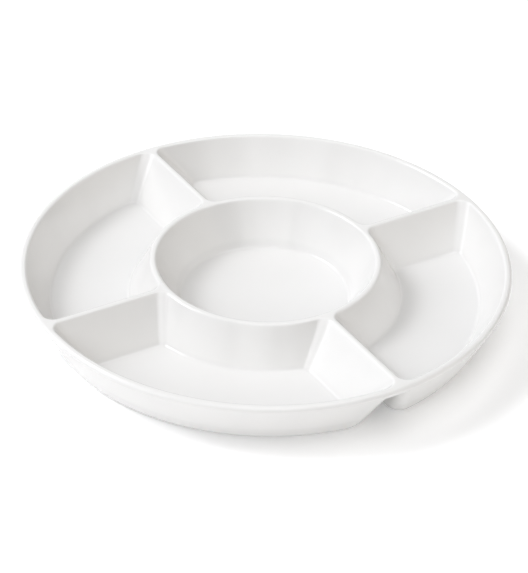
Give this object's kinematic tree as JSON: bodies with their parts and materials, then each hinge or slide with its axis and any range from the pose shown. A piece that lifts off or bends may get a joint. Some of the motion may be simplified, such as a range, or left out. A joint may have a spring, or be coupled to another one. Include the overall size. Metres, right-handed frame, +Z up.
{
  "type": "divided serving bowl",
  "caption": "Round glossy white serving bowl with a centre well, and wells round it between hollow dividers that join a ring to the rim.",
  "frame": {"origin": "middle of the base, on the surface that the bowl stands on", "axes": "+Z up out of the wells, the front well faces -Y and the right well faces +X"},
  "size_m": [0.3, 0.3, 0.034],
  "materials": {
    "glaze": "glossy white glaze"
  },
  "bodies": {
    "root": {"rim": "glaze", "centre_ring": "glaze", "centre_well": "glaze", "front_well": "glaze", "right_well": "glaze", "back_well": "glaze", "left_well": "glaze", "front_right_divider": "glaze", "back_right_divider": "glaze", "back_left_divider": "glaze", "front_left_divider": "glaze"}
  },
  "joints": []
}
